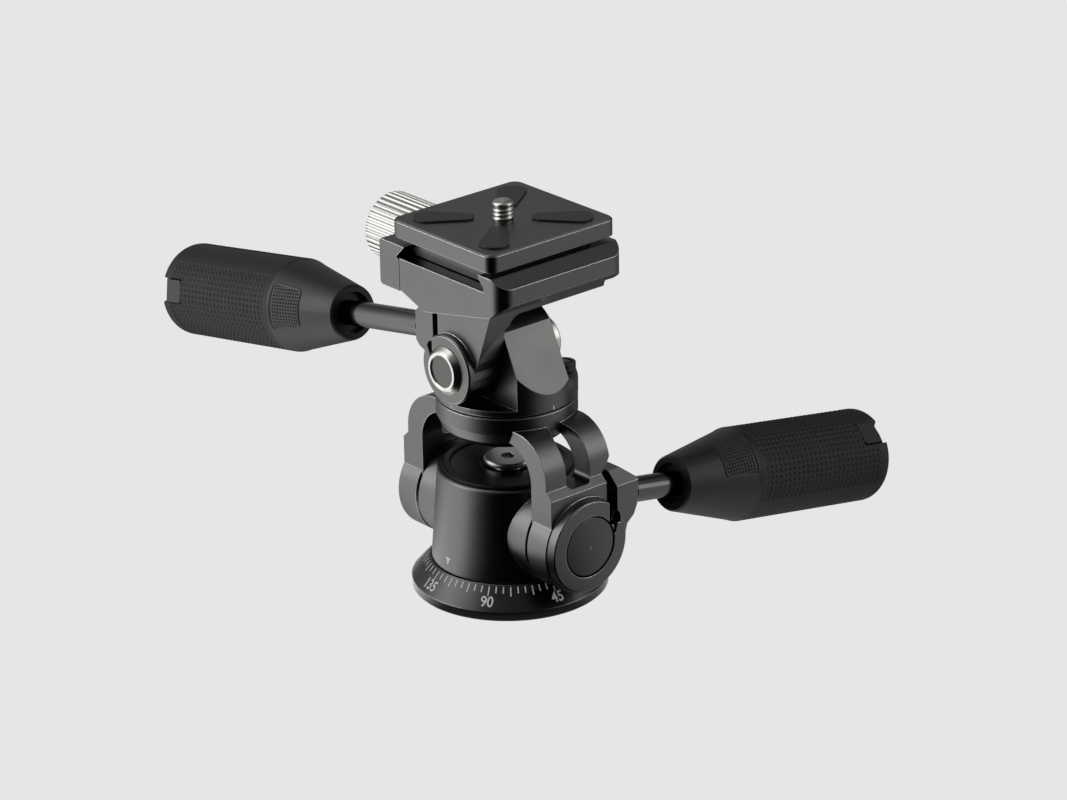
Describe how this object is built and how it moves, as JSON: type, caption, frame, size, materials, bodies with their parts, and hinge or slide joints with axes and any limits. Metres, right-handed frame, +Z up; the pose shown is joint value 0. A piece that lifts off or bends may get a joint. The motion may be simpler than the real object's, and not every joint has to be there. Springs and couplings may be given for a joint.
{
  "type": "three way pan tilt head",
  "caption": "Tripod head with a pan drum on a graded base, a forked tilt yoke, a side tilt bracket, a dovetail plate clamp and screw-in handles.",
  "frame": {"origin": "centre of the base disc's bottom face, on the pan axis", "axes": "+Z up along the pan axis, X along the tilt axis, Y along the side tilt axis; the lens looks toward -Y, the tilt handle points to +Y and the side tilt handle to -X"},
  "size_m": [0.1807, 0.1516, 0.1231],
  "materials": {
    "anodised": "black satin anodised",
    "steel": "turned steel",
    "bright": "bright plated",
    "trunnion": "dark anodised",
    "rod": "black satin",
    "nylon": "natural nylon",
    "black_plastic": "moulded black",
    "black_rubber": "matte black rubber",
    "vial": "clear vial"
  },
  "bodies": {
    "base": {"base_dial": "anodised", "spindle_screws": "steel", "pan_spindle": "steel", "pan_slide_ring": "nylon", "pan_cap_screw": "bright"},
    "pan_drum": {"pan_body": "anodised", "pan_top_cover": "black_plastic", "pan_lock_shoe": "nylon", "tilt_trunnion_right": "trunnion", "tilt_trunnion_left": "trunnion", "trunnion_bolt_right": "steel", "trunnion_bolt_left": "steel", "tilt_cap_right": "trunnion", "tilt_cap_left": "trunnion"},
    "pan_lock": {"pan_lock_screw": "steel", "pan_lock_knob": "black_plastic"},
    "yoke": {"tilt_yoke": "anodised", "tilt_bush_right": "nylon", "tilt_bush_left": "nylon", "tilt_washer_right": "nylon", "tilt_washer_left": "nylon", "pivot_housing": "anodised", "housing_screws": "steel", "roll_axle": "steel", "roll_axle_nut": "bright", "roll_cap_ring": "bright", "roll_cap_disc": "black_plastic", "level_holder": "black_plastic", "level_vial": "vial"},
    "tilt_handle": {"tilt_handle_rod": "rod", "tilt_grip_core": "black_plastic", "tilt_grip_sleeve": "black_rubber", "tilt_grip_plug": "black_plastic"},
    "bracket": {"roll_bracket": "anodised", "roll_bush": "nylon", "roll_washer": "nylon", "clamp_base": "anodised", "bracket_screws": "steel"},
    "roll_handle": {"roll_handle_rod": "rod", "roll_grip_core": "black_plastic", "roll_grip_sleeve": "black_rubber", "roll_grip_plug": "black_plastic"},
    "jaw": {"clamp_jaw": "anodised", "jaw_guide_pins": "steel"},
    "clamp_knob": {"knob_washer": "steel", "clamp_knob": "bright", "clamp_screw": "steel"},
    "plate": {"quick_plate": "anodised", "plate_pads": "black_rubber"},
    "camera_screw": {"camera_screw": "bright"}
  },
  "joints": [
    {"name": "pan", "type": "hinge", "parent": "base", "child": "pan_drum", "pos_m": [0, 0, 0.02], "axis": [0, 0, 1], "continuous": true},
    {"name": "pan_lock_turn", "type": "hinge", "parent": "pan_drum", "child": "pan_lock", "pos_m": [0, 0.03, 0.017], "axis": [0, 1, 0], "range_deg": [0, 270]},
    {"name": "tilt", "type": "hinge", "parent": "pan_drum", "child": "yoke", "pos_m": [0, 0, 0.0234], "axis": [1, 0, 0], "range_deg": [-35, 90]},
    {"name": "tilt_handle_turn", "type": "hinge", "parent": "yoke", "child": "tilt_handle", "pos_m": [0.031, 0, 0.0371], "axis": [0, 0.9854, -0.1702], "range_deg": [0, 360]},
    {"name": "side_tilt", "type": "hinge", "parent": "yoke", "child": "bracket", "pos_m": [0, 0, 0.0755], "axis": [0, 1, 0], "range_deg": [-30, 78]},
    {"name": "side_handle_turn", "type": "hinge", "parent": "bracket", "child": "roll_handle", "pos_m": [0, -0.01635, 0.0864], "axis": [-0.9839, 0, -0.1788], "range_deg": [0, 360]},
    {"name": "knob_turn", "type": "hinge", "parent": "jaw", "child": "clamp_knob", "pos_m": [-0.04, 0, 0.1015], "axis": [-1, 0, 0], "range_deg": [0, 1800]},
    {"name": "jaw_slide", "type": "slide", "parent": "bracket", "child": "jaw", "axis": [-1, 0, 0], "range_m": [0, 0.004]},
    {"name": "plate_slide", "type": "slide", "parent": "bracket", "child": "plate", "axis": [0, 1, 0], "range_m": [-0.012, 0.012]},
    {"name": "camera_screw_turn", "type": "hinge", "parent": "plate", "child": "camera_screw", "pos_m": [0, 0, 0.115], "axis": [0, 0, 1], "continuous": true}
  ],
  "couplings": [
    {"joint": "knob_turn", "follows": "jaw_slide", "rad_per_m": 7854}
  ]
}
